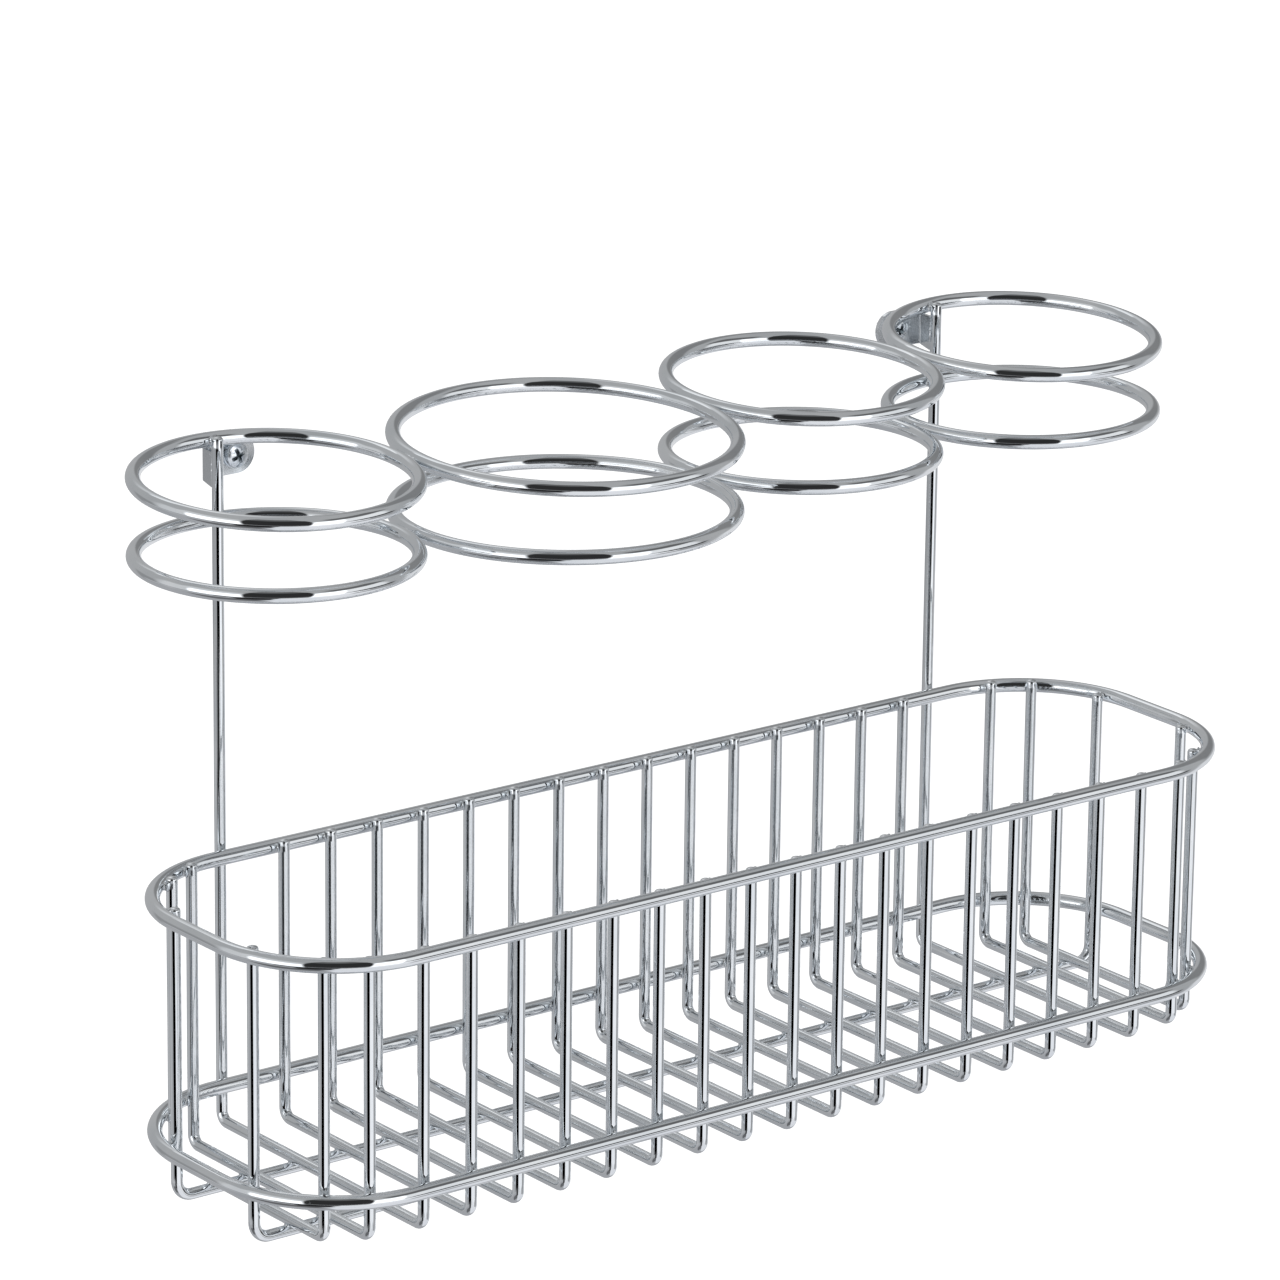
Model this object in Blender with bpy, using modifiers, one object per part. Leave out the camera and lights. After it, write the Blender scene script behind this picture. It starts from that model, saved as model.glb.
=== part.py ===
"""Wall-hung wire holder for a hair dryer, brushes and irons.

A long wire basket hangs on two upright wires. Above it, four columns of paired wire rings
stand side by side: one large ring for the dryer's barrel and three small ones for brushes.
Two bent sheet brackets on the uprights take the wall screws. Everything is welded, so
nothing moves.

Frame: +X along the basket, +Y towards the wall, +Z up. The origin is on the wall's surface,
midway between the two screw holes. Metres.
"""
import math

import bmesh
import bpy
from mathutils import Matrix, Vector

MM = 0.001

# Wire sizes, and the clearance that stands for a weld line between two wires.
THIN_RADIUS = 1.7 * MM
HEAVY_RADIUS = 2.2 * MM
GAP = 0.3 * MM

# Cross wires: an even pitch between the uprights, and two closer wires at each end.
PITCH = 16.5 * MM
EVEN_HALF_COUNT = 8
END_WIRE_X = (149.0 * MM, 160.0 * MM)
CROSS_BEND = 3.0 * MM

# Basket: rims, floor and the two long wires under the floor.
RIM_HALF_LENGTH = 176.5 * MM
RIM_HALF_DEPTH = 50.5 * MM
RIM_CORNER = 39.5 * MM
TOP_RIM_Z = -116.1 * MM
BOTTOM_RIM_Z = TOP_RIM_Z - 70.2 * MM
FLOOR_Z = TOP_RIM_Z - 82.5 * MM
FRONT_LEG_TOP_Z = TOP_RIM_Z + 0.8 * MM
REAR_LEG_TOP_Z = TOP_RIM_Z + 3.2 * MM
END_LEG_TOP_Z = TOP_RIM_Z + 1.4 * MM
LONG_WIRE_OFFSET = 19.5 * MM
LONG_WIRE_BEND = 5.0 * MM

# Uprights and rings.
UPRIGHT_X = EVEN_HALF_COUNT * PITCH
UPRIGHT_Y = -8.0 * MM
RING_BACK_Z = {"upper": 6.7 * MM, "lower": -17.0 * MM}
RING_TILT_DEG = {"upper": 2.4, "lower": 0.0}
UPRIGHT_TOP_Z = RING_BACK_Z["upper"] + 1.7 * MM
SMALL_RING = 40.1 * MM
LARGE_RING = 49.4 * MM
RING_COLUMNS = ("left", "dryer", "middle", "right")
RING_POINTS = 40

# Brackets and screws.
SHEET = 1.2 * MM
BRACKET_HALF_HEIGHT = 5.75 * MM
BRACKET_BEND = 1.8 * MM
FLANGE_BOTTOM_AT_WIRE = -7.0 * MM
FLANGE_TOP = 3.9 * MM
FLANGE_FRONT_OF_PLATE = -1.3 * MM
HOLE_FROM_UPRIGHT = 10.3 * MM
PLATE_END_FROM_HOLE = 7.0 * MM
HOLE_RADIUS = 2.2 * MM
SCREW_HEAD_RADIUS = 3.8 * MM
SCREW_HEAD_HEIGHT = 2.5 * MM
SCREW_SHANK_RADIUS = 1.75 * MM
SCREW_REACH = 8.0 * MM
SCREW_POINT = 3.0 * MM

# Derived places.
LEG_INSET = HEAVY_RADIUS + THIN_RADIUS + GAP
BASKET_Y = UPRIGHT_Y - LEG_INSET - RIM_HALF_DEPTH
LONG_WIRE_Z = FLOOR_Z - 2 * THIN_RADIUS - GAP
HOLE_X = UPRIGHT_X - HOLE_FROM_UPRIGHT

CHROME = (0.80, 0.81, 0.83, 1.0)
SCREW_STEEL = (0.70, 0.71, 0.73, 1.0)


def clear_scene():
    for thing in list(bpy.data.objects):
        bpy.data.objects.remove(thing, do_unlink=True)


def make_collection(name):
    collection = bpy.data.collections.new(name)
    bpy.context.scene.collection.children.link(collection)
    return collection


def metal(name, colour, roughness):
    material = bpy.data.materials.new(name)
    material.use_nodes = True
    shader = material.node_tree.nodes["Principled BSDF"]
    shader.inputs["Base Color"].default_value = colour
    shader.inputs["Metallic"].default_value = 1.0
    shader.inputs["Roughness"].default_value = roughness
    return material


def arc(centre, radius, start_deg, end_deg, steps):
    """Points on an arc about a 2D centre, both ends included."""
    points = []
    for k in range(steps + 1):
        angle = math.radians(start_deg + (end_deg - start_deg) * k / steps)
        points.append((centre[0] + radius * math.cos(angle), centre[1] + radius * math.sin(angle)))
    return points


def wire(name, points, radius, material, collection, closed=False):
    """A round wire through 3D points, with flat filled ends where it is open."""
    curve = bpy.data.curves.new(name, "CURVE")
    curve.dimensions = "3D"
    curve.bevel_depth = radius
    curve.bevel_resolution = 2
    curve.use_fill_caps = not closed
    spline = curve.splines.new("POLY")
    spline.points.add(len(points) - 1)
    for point, place in zip(spline.points, points):
        point.co = (*place, 1.0)
    spline.use_cyclic_u = closed
    spline.use_smooth = True
    curve.materials.append(material)
    thing = bpy.data.objects.new(name, curve)
    collection.objects.link(thing)
    return thing


def rim_outline(inset=0.0, steps=9):
    """The basket's rounded oblong in plan, moved inwards by inset."""
    radius = RIM_CORNER - inset
    x = RIM_HALF_LENGTH - RIM_CORNER
    y = RIM_HALF_DEPTH - RIM_CORNER
    outline = []
    corners = (((x, y), 0), ((-x, y), 90), ((-x, -y), 180), ((x, -y), 270))
    for centre, start in corners:
        outline += arc(centre, radius, start, start + 90, steps)
    return outline


def leg_depth(x):
    """Half the distance between a cross wire's legs at x, where they touch the rims inside."""
    radius = RIM_CORNER - LEG_INSET
    along = max(0.0, abs(x) - (RIM_HALF_LENGTH - RIM_CORNER))
    return RIM_HALF_DEPTH - RIM_CORNER + math.sqrt(radius**2 - along**2)


def long_wire_reach():
    """How far out the long wires' legs stand, where they touch the rims inside."""
    radius = RIM_CORNER - LEG_INSET
    across = LONG_WIRE_OFFSET - (RIM_HALF_DEPTH - RIM_CORNER)
    return RIM_HALF_LENGTH - RIM_CORNER + math.sqrt(radius**2 - across**2)


def u_profile(low, high, top_low, top_high, floor, bend):
    """A U in 2D: down at `low`, along the floor and up at `high`, with two round bends."""
    points = [(low, top_low)]
    points += arc((low + bend, floor + bend), bend, 180, 270, 4)
    points += arc((high - bend, floor + bend), bend, 270, 360, 4)
    points.append((high, top_high))
    return points


def cross_wire_positions():
    even = [k * PITCH for k in range(-EVEN_HALF_COUNT + 1, EVEN_HALF_COUNT)]
    near, far = END_WIRE_X
    return [-far, -near] + even + [near, far]


def make_rims(material, collection):
    for name, height in (("top_rim", TOP_RIM_Z), ("bottom_rim", BOTTOM_RIM_Z)):
        points = [(x, y + BASKET_Y, height) for x, y in rim_outline()]
        wire(name, points, HEAVY_RADIUS, material, collection, closed=True)


def make_cross_wires(material, collection):
    for number, x in enumerate(cross_wire_positions(), start=1):
        depth = leg_depth(x)
        tops = (FRONT_LEG_TOP_Z, REAR_LEG_TOP_Z)
        profile = u_profile(BASKET_Y - depth, BASKET_Y + depth, *tops, FLOOR_Z, CROSS_BEND)
        points = [(x, y, z) for y, z in profile]
        wire(f"cross_wire_{number:02d}", points, THIN_RADIUS, material, collection)


def make_uprights(material, collection):
    """Each upright is a cross wire whose rear leg runs outside the rims and up to the rings."""
    for side, x in (("left", -UPRIGHT_X), ("right", UPRIGHT_X)):
        front = BASKET_Y - leg_depth(x)
        tops = (FRONT_LEG_TOP_Z, UPRIGHT_TOP_Z)
        profile = u_profile(front, UPRIGHT_Y, *tops, FLOOR_Z, CROSS_BEND)
        points = [(x, y, z) for y, z in profile]
        wire(f"upright_{side}", points, THIN_RADIUS, material, collection)


def make_long_wires(material, collection):
    reach = long_wire_reach()
    for place, y in (("front", BASKET_Y - LONG_WIRE_OFFSET), ("rear", BASKET_Y + LONG_WIRE_OFFSET)):
        tops = (END_LEG_TOP_Z, END_LEG_TOP_Z)
        profile = u_profile(-reach, reach, *tops, LONG_WIRE_Z, LONG_WIRE_BEND)
        points = [(x, y, z) for x, z in profile]
        wire(f"long_wire_{place}", points, THIN_RADIUS, material, collection)


def ring_layout():
    """Ring centres and radii, left to right. All the rings' backs lie on one line, each ring
    touches the next, and the row is centred on the uprights."""
    radii = [LARGE_RING if column == "dryer" else SMALL_RING for column in RING_COLUMNS]
    steps = []
    for first, second in zip(radii, radii[1:]):
        reach = first + second + 2 * HEAVY_RADIUS + GAP
        steps.append(math.sqrt(reach**2 - (first - second) ** 2))
    x = -sum(steps) / 2
    beside = abs(x) - UPRIGHT_X
    back = UPRIGHT_Y + THIN_RADIUS + HEAVY_RADIUS + GAP
    back_line = back + SMALL_RING - math.sqrt(SMALL_RING**2 - beside**2)
    layout = []
    for column, radius, step in zip(RING_COLUMNS, radii, steps + [0.0]):
        layout.append((column, x, back_line - radius, radius))
        x += step
    return layout


def make_rings(material, collection):
    """Each level's row of rings leans forward as one about the line of its backs."""
    for column, x, y, radius in ring_layout():
        back = y + radius
        for level, height in RING_BACK_Z.items():
            tilt = math.radians(RING_TILT_DEG[level])
            turn = arc((x, y), radius, 0, 360, RING_POINTS)[:-1]
            points = [
                (px, back + (py - back) * math.cos(tilt), height + (py - back) * math.sin(tilt))
                for px, py in turn
            ]
            wire(f"ring_{column}_{level}", points, HEAVY_RADIUS, material, collection, closed=True)


def flat_solid(name, outlines, thickness, placing, collection):
    """A closed mesh: 2D outlines, the later ones holes, extruded and then placed by a matrix."""
    curve = bpy.data.curves.new(name, "CURVE")
    curve.dimensions = "2D"
    curve.fill_mode = "BOTH"
    curve.extrude = thickness / 2
    for outline in outlines:
        spline = curve.splines.new("POLY")
        spline.points.add(len(outline) - 1)
        for point, place in zip(spline.points, outline):
            point.co = (*place, 0.0, 1.0)
        spline.use_cyclic_u = True
    source = bpy.data.objects.new(name + "_outline", curve)
    collection.objects.link(source)
    graph = bpy.context.evaluated_depsgraph_get()
    mesh = bpy.data.meshes.new_from_object(source.evaluated_get(graph))
    bpy.data.objects.remove(source, do_unlink=True)
    work = bmesh.new()
    work.from_mesh(mesh)
    bmesh.ops.remove_doubles(work, verts=work.verts, dist=1e-6)
    bmesh.ops.transform(work, matrix=placing, verts=work.verts)
    bmesh.ops.recalc_face_normals(work, faces=work.faces)
    work.to_mesh(mesh)
    work.free()
    mesh.name = name
    thing = bpy.data.objects.new(name, mesh)
    collection.objects.link(thing)
    return thing


def hide_cutter(thing):
    thing.hide_render = True
    thing.display_type = "WIRE"


def combine(thing, cutter, operation):
    modifier = thing.modifiers.new(cutter.name, "BOOLEAN")
    modifier.operation = operation
    modifier.object = cutter


def sheet_profile():
    """The bracket's bent sheet seen from above, with the hole side towards +X and the wall at y=0.
    x runs from the upright's centre line."""
    outer = BRACKET_BEND
    inner = BRACKET_BEND - SHEET
    edge = -SHEET / 2
    wire_side = UPRIGHT_Y + THIN_RADIUS + GAP
    plate_end = HOLE_FROM_UPRIGHT + PLATE_END_FROM_HOLE
    corner = (edge + outer, -outer)
    outline = [(edge, wire_side)]
    outline += arc(corner, outer, 180, 90, 5)
    outline += [(plate_end, 0.0), (plate_end, -SHEET)]
    outline += arc(corner, inner, 90, 180, 5)
    outline.append((edge + SHEET, wire_side))
    return outline


def plate_face():
    """The bracket seen from the front: a round-ended plate with its screw hole, on a longer flange."""
    end = HOLE_FROM_UPRIGHT + PLATE_END_FROM_HOLE - BRACKET_HALF_HEIGHT
    left = -2 * SHEET
    flange = SHEET
    outline = [(left, FLANGE_BOTTOM_AT_WIRE - SHEET), (flange, FLANGE_BOTTOM_AT_WIRE - SHEET)]
    outline.append((flange, -BRACKET_HALF_HEIGHT))
    outline += arc((end, 0.0), BRACKET_HALF_HEIGHT, -90, 90, 16)
    outline.append((left, BRACKET_HALF_HEIGHT))
    hole = arc((HOLE_FROM_UPRIGHT, 0.0), HOLE_RADIUS, 0, 360, 20)[:-1]
    return outline, hole


def side_face():
    """The bracket seen from the side: the flange stays under the upper ring and its lower edge
    slopes down from the plate to the upright."""
    wire_side = UPRIGHT_Y + THIN_RADIUS
    behind = SHEET
    return [
        (behind, BRACKET_HALF_HEIGHT + SHEET),
        (FLANGE_FRONT_OF_PLATE, BRACKET_HALF_HEIGHT + SHEET),
        (FLANGE_FRONT_OF_PLATE, FLANGE_TOP),
        (wire_side, FLANGE_TOP),
        (wire_side, FLANGE_BOTTOM_AT_WIRE),
        (FLANGE_FRONT_OF_PLATE, -BRACKET_HALF_HEIGHT),
        (behind, -BRACKET_HALF_HEIGHT - SHEET),
    ]


def make_brackets(material, collection, cutters):
    stand_up = Matrix.Rotation(math.radians(90), 4, "X")
    seen_from_side = Matrix(((0, 0, 1, 0), (1, 0, 0, 0), (0, 1, 0, 0), (0, 0, 0, 1)))
    tall = 4 * BRACKET_HALF_HEIGHT
    for side, x, mirror in (("left", -UPRIGHT_X, 1.0), ("right", UPRIGHT_X, -1.0)):
        place = Matrix.Translation((x, 0.0, 0.0)) @ Matrix.Scale(mirror, 4, (1.0, 0.0, 0.0))
        bracket = flat_solid(f"bracket_{side}", [sheet_profile()], tall, place, collection)
        face = flat_solid(f"face_{side}", plate_face(), tall, place @ stand_up, cutters)
        wide = 4 * (HOLE_FROM_UPRIGHT + PLATE_END_FROM_HOLE)
        edge = flat_solid(f"edge_{side}", [side_face()], wide, place @ seen_from_side, cutters)
        combine(bracket, face, "INTERSECT")
        combine(bracket, edge, "INTERSECT")
        hide_cutter(face)
        hide_cutter(edge)
        bracket.data.materials.append(material)


def screw_profile():
    """Half section of a pan-head screw from the top of its head to its point, along -Z."""
    top = SCREW_HEAD_HEIGHT
    rim = SCREW_HEAD_RADIUS
    points = [(0.0, top), (0.45 * rim, 0.97 * top), (0.75 * rim, 0.82 * top), (0.93 * rim, 0.5 * top)]
    points += [(rim, 0.2 * top), (rim, 0.0), (SCREW_SHANK_RADIUS, 0.0)]
    reach = SHEET + GAP + SCREW_REACH
    points += [(SCREW_SHANK_RADIUS, SCREW_POINT - reach), (0.0, -reach)]
    return points


def turned(name, profile, steps, collection):
    """A solid of revolution about Z from a half section that starts and ends on the axis."""
    mesh = bpy.data.meshes.new(name)
    work = bmesh.new()
    corners = [work.verts.new((radius, 0.0, height)) for radius, height in profile]
    for first, second in zip(corners, corners[1:]):
        work.edges.new((first, second))
    work.to_mesh(mesh)
    work.free()
    thing = bpy.data.objects.new(name, mesh)
    collection.objects.link(thing)
    spin = thing.modifiers.new("turn", "SCREW")
    spin.steps = steps
    spin.render_steps = steps
    spin.use_merge_vertices = True
    spin.merge_threshold = 1e-6
    spin.use_smooth_shade = False
    return thing


def make_screws(material, collection, cutters):
    """Screws stand with their heads on the plates and their axes along Y."""
    head_to_front = Matrix.Rotation(math.radians(90), 4, "X")
    for side, x in (("left", -HOLE_X), ("right", HOLE_X)):
        screw = turned(f"screw_{side}", screw_profile(), 20, collection)
        place = Matrix.Translation((x, -SHEET - GAP, 0.0)) @ head_to_front
        screw.matrix_world = place
        screw.data.materials.append(material)
        for number, tilt in enumerate((20.0, 110.0), start=1):
            slot = recess_bar(f"recess_{side}_{number}", tilt, place, cutters)
            combine(screw, slot, "DIFFERENCE")


def recess_bar(name, tilt, place, collection):
    """One bar of the screw's cross recess."""
    length = 1.15 * SCREW_HEAD_RADIUS
    mesh = bpy.data.meshes.new(name)
    work = bmesh.new()
    bmesh.ops.create_cube(work, size=1.0)
    bmesh.ops.scale(work, vec=Vector((length, 0.9 * MM, 2 * 1.3 * MM)), verts=work.verts)
    work.to_mesh(mesh)
    work.free()
    bar = bpy.data.objects.new(name, mesh)
    collection.objects.link(bar)
    lift = Matrix.Translation((0.0, 0.0, SCREW_HEAD_HEIGHT))
    bar.matrix_world = place @ lift @ Matrix.Rotation(math.radians(tilt), 4, "Z")
    hide_cutter(bar)
    return bar


def main():
    clear_scene()
    parts = make_collection("hair_dryer_holder")
    cutters = make_collection("cutters")
    chrome = metal("polished_chrome", CHROME, 0.06)
    steel = metal("zinc_steel", SCREW_STEEL, 0.18)
    make_rims(chrome, parts)
    make_cross_wires(chrome, parts)
    make_uprights(chrome, parts)
    make_long_wires(chrome, parts)
    make_rings(chrome, parts)
    make_brackets(chrome, parts, cutters)
    make_screws(steel, parts, cutters)


main()
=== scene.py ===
"""Looks of the wall-hung chrome wire holder: round wires, weld beads, bent plates, screws, metals, studio.

Every wire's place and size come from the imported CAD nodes. Metres, +X along the basket, +Y towards the
wall, +Z up, the origin on the wall midway between the screws.
"""
import math
import random

import bmesh
import bpy
import numpy as np
from mathutils import Matrix, Vector, noise


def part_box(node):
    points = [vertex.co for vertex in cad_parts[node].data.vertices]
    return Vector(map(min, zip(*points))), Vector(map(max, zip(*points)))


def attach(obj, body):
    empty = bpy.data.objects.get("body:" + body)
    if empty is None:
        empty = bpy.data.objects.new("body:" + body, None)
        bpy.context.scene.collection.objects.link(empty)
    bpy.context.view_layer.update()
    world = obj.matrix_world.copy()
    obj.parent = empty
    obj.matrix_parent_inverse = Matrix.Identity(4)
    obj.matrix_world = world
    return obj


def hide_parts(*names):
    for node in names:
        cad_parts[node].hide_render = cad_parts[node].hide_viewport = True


MM = 0.001

SIDES = ("left", "right")
COLUMNS = ("left", "dryer", "middle", "right")
LEVELS = ("upper", "lower")

# Wire: what a node's box doesn't give.
THIN = 1.7 * MM
HEAVY = 2.2 * MM
RIM_CORNER = 39.5 * MM
CROSS_BEND = 3.0 * MM
LONG_BEND = 5.0 * MM
FRONT_LEG_ABOVE_RIM = 0.8 * MM
LONGEST_STEP = 4.0 * MM
WAVER = 0.05 * MM
WAVER_SEED = 5  # fixed, because Blender's noise otherwise starts from the clock
END_DEPTH = 0.6  # how deep a wire's rounded end is, in radii

# Welds: how wide the groove between two wires is where the bead's metal ends, for each kind of joint.
RIM_WELD = 0.6 * MM
LONG_WIRE_WELD = 0.35 * MM
RING_WELD = 0.9 * MM
UPRIGHT_WELD = 0.85 * MM
WELD_LIMIT = 4.2 * MM  # the farthest that a bead reaches from the contact
WELD_SINK = 0.03 * MM  # how deep a bead's edge lies in the wires
CONTACT_SEARCH = 12.0 * MM  # how far around a given place the contact is looked for

# Wall plates and screws.
SHEET = 1.2 * MM
PLATE_HALF_HEIGHT = 5.75 * MM
PLATE_BEND = 1.8 * MM
PLATE_HOLE = 2.2 * MM
FLANGE_TOP = 3.6 * MM
CORNER_CUT = 0.3 * MM
SEAT_Y = -1.5 * MM
THREAD_CORE = 1.28 * MM
THREAD_CREST = 1.75 * MM
THREAD_PITCH = 1.35 * MM
THREAD_STARTS_AT = -1.4 * MM  # from the head's seat
SCREW_POINT = 3.6 * MM
SCREW_TURN_DEG = {"left": 22, "right": 64}
RECESS_HALF_WIDTH = 0.50 * MM
RECESS_DARK_AT = 0.7 * MM  # the depth from which the recess's painted shade and dirt is fully dark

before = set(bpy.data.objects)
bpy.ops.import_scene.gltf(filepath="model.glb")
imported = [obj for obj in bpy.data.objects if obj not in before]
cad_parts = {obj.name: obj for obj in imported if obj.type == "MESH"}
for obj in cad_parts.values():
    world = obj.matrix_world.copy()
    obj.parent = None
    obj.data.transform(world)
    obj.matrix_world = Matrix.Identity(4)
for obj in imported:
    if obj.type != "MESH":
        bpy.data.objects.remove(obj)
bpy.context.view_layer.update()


# ---------------------------------------------------------------- paths

class Path:
    """A wire's centre line, its radius and whether it closes on itself."""

    def __init__(self, points, radius, closed=False):
        self.points = np.array(points, float)
        self.radius = radius
        self.closed = closed

    def segments(self):
        ends = np.roll(self.points, -1, axis=0)
        return (self.points, ends) if self.closed else (self.points[:-1], ends[:-1])

    def nearest(self, place):
        """The nearest point of the centre line, and the line's direction there."""
        start, end = self.segments()
        along = end - start
        length = np.maximum((along**2).sum(1), 1e-18)
        share = np.clip(((place - start) * along).sum(1) / length, 0.0, 1.0)
        feet = start + share[:, None] * along
        best = int(((feet - place) ** 2).sum(1).argmin())
        return feet[best], along[best] / math.sqrt(length[best])

    def on_surface(self, place, sink):
        """The point of the wire's skin nearest to a place, sunk a little below it."""
        foot, _ = self.nearest(place)
        out = place - foot
        return foot + out / max(np.linalg.norm(out), 1e-9) * (self.radius - sink)


def arc(centre, radius, start_deg, end_deg, steps):
    angles = np.radians(np.linspace(start_deg, end_deg, steps + 1))
    return [(centre[0] + radius * math.cos(a), centre[1] + radius * math.sin(a)) for a in angles]


def refine(points, closed=False):
    """The same route with extra points, so that no step is longer than LONGEST_STEP."""
    fine = []
    count = len(points)
    for k in range(count if closed else count - 1):
        start, end = np.array(points[k], float), np.array(points[(k + 1) % count], float)
        pieces = max(1, math.ceil(np.linalg.norm(end - start) / LONGEST_STEP))
        fine += [start + (end - start) * j / pieces for j in range(pieces)]
    if not closed:
        fine.append(np.array(points[-1], float))
    return fine


def rim_path(node):
    """A rim: a level oblong with round corners."""
    low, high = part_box(node)
    middle = (low + high) / 2
    half_x = (high.x - low.x) / 2 - HEAVY - RIM_CORNER
    half_y = (high.y - low.y) / 2 - HEAVY - RIM_CORNER
    outline = []
    for sx, sy, start in ((1, 1, 0), (-1, 1, 90), (-1, -1, 180), (1, -1, 270)):
        outline += arc((sx * half_x, sy * half_y), RIM_CORNER, start, start + 90, 26)
    points = [(middle.x + x, middle.y + y, middle.z) for x, y in outline]
    return Path(refine(points, closed=True), HEAVY, closed=True)


def ring_path(node):
    """A ring: a circle that leans forward as far as its node's height says."""
    low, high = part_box(node)
    middle = (low + high) / 2
    radius = (high.x - low.x) / 2 - HEAVY
    tilt = math.asin(max(0.0, high.z - low.z - 2 * HEAVY) / (2 * radius))
    turn = arc((0.0, 0.0), radius, 90, 450, 144)[:-1]
    points = [(middle.x + x, middle.y + y * math.cos(tilt), middle.z + y * math.sin(tilt)) for x, y in turn]
    return Path(points, HEAVY, closed=True)


def u_points(low, high, top_low, top_high, floor, bend):
    """A U in 2D: down at `low`, along the floor and up at `high`, with two round bends."""
    points = [(low, top_low)]
    points += arc((low + bend, floor + bend), bend, 180, 270, 12)
    points += arc((high - bend, floor + bend), bend, 270, 360, 12)
    return points + [(high, top_high)]


def cross_path(node):
    """A cross wire or upright: its front leg ends just above the middle of the top rim, its rear leg at the
    node's top."""
    low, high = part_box(node)
    x = (low.x + high.x) / 2
    rim_low, rim_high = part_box("top_rim")
    front_top = (rim_low.z + rim_high.z) / 2 + FRONT_LEG_ABOVE_RIM
    profile = u_points(low.y + THIN, high.y - THIN, front_top, high.z, low.z + THIN, CROSS_BEND)
    return Path(refine([(x, y, z) for y, z in profile]), THIN)


def long_path(node):
    """A long wire under the floor, with both ends turned up."""
    low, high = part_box(node)
    y = (low.y + high.y) / 2
    profile = u_points(low.x + THIN, high.x - THIN, high.z, high.z, low.z + THIN, LONG_BEND)
    return Path(refine([(x, y, z) for x, z in profile]), THIN)


def wavered(path, seed):
    """A hand-welded wire is never quite straight: bends the route by a few hundredths of a millimetre."""
    start = Vector((seed * 7.3, seed * 1.7, 0.0))
    shift = [noise.noise_vector(Vector(p) * 34.0 + start) for p in path.points]
    path.points = path.points + WAVER * np.array([tuple(v) for v in shift])
    return path


# ---------------------------------------------------------------- meshes

def add_object(name, mesh, material):
    thing = bpy.data.objects.new(name, mesh)
    bpy.context.scene.collection.objects.link(thing)
    mesh.materials.append(material)
    return thing


def smooth_mesh(name, verts, faces):
    mesh = bpy.data.meshes.new(name)
    mesh.from_pydata([tuple(v) for v in verts], [], faces)
    mesh.shade_smooth()
    return mesh


def frames_along(path):
    """Tangent, side and up at every point, carried along without twist."""
    points = path.points
    if path.closed:
        tangents = np.roll(points, -1, axis=0) - np.roll(points, 1, axis=0)
    else:
        tangents = np.gradient(points, axis=0)
    tangents /= np.linalg.norm(tangents, axis=1)[:, None]
    if abs(tangents[:, 2]).max() < 0.5:  # a wire that lies nearly level
        side = np.array((0.0, 0.0, 1.0))
    else:
        side = np.cross(tangents[0], tangents[len(tangents) // 2] + (0.3, 0.2, 0.1))
    sides, ups = [], []
    for tangent in tangents:
        side = side - tangent * side.dot(tangent)
        side /= np.linalg.norm(side)
        sides.append(side)
        ups.append(np.cross(tangent, side))
    return tangents, np.array(sides), np.array(ups)


def dome_steps(radius):
    """How a cut wire end closes: a short rounded shoulder, then a nearly flat face."""
    shoulder = 0.55 * radius
    steps = []
    for k in range(1, 7):
        angle = math.radians(15 * k)
        steps.append((radius - shoulder * (1 - math.cos(angle)), shoulder * math.sin(angle)))
    steps.append((0.28 * radius, END_DEPTH * radius))
    return steps


def tube(name, path, material, sides):
    """A round wire with a UV layer: U around it, V along it in metres."""
    points = path.points
    tangents, side, up = frames_along(path)
    rings = [(p, path.radius, s, u) for p, s, u in zip(points, side, up)]
    if not path.closed:
        dome = dome_steps(path.radius)
        depth = END_DEPTH * path.radius
        first = [(points[0] - tangents[0] * (d - depth), r, side[0], up[0]) for r, d in reversed(dome)]
        last = [(points[-1] + tangents[-1] * (d - depth), r, side[-1], up[-1]) for r, d in dome]
        rings[0] = (points[0] + tangents[0] * depth, path.radius, side[0], up[0])
        rings[-1] = (points[-1] - tangents[-1] * depth, path.radius, side[-1], up[-1])
        rings = first + rings + last
    angles = np.linspace(0, 2 * math.pi, sides, endpoint=False)
    verts = []
    for place, radius, s, u in rings:
        for angle in angles:
            verts.append(place + radius * (math.cos(angle) * s + math.sin(angle) * u))
    count = len(rings)
    reach = [0.0]
    for k in range(1, count + 1):
        reach.append(reach[-1] + float(np.linalg.norm(rings[k % count][0] - rings[k - 1][0])))
    faces, uvs = [], []
    for k in range(count if path.closed else count - 1):
        after = (k + 1) % count
        for j in range(sides):
            n = (j + 1) % sides
            faces.append((k * sides + j, k * sides + n, after * sides + n, after * sides + j))
            uvs += [(j / sides, reach[k]), ((j + 1) / sides, reach[k]),
                    ((j + 1) / sides, reach[k + 1]), (j / sides, reach[k + 1])]
    if not path.closed:
        for ring, flip in ((0, True), (count - 1, False)):
            loop = [ring * sides + j for j in range(sides)]
            faces.append(tuple(reversed(loop)) if flip else tuple(loop))
            uvs += [(0.5, reach[ring])] * sides
    mesh = smooth_mesh(name, verts, faces)
    layer = mesh.uv_layers.new(name="wire")
    layer.data.foreach_set("uv", np.array(uvs, np.float32).ravel())
    fix_normals(mesh)
    return add_object(name, mesh, material)


def fix_normals(mesh):
    work = bmesh.new()
    work.from_mesh(mesh)
    bmesh.ops.recalc_face_normals(work, faces=work.faces)
    work.to_mesh(mesh)
    work.free()


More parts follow.
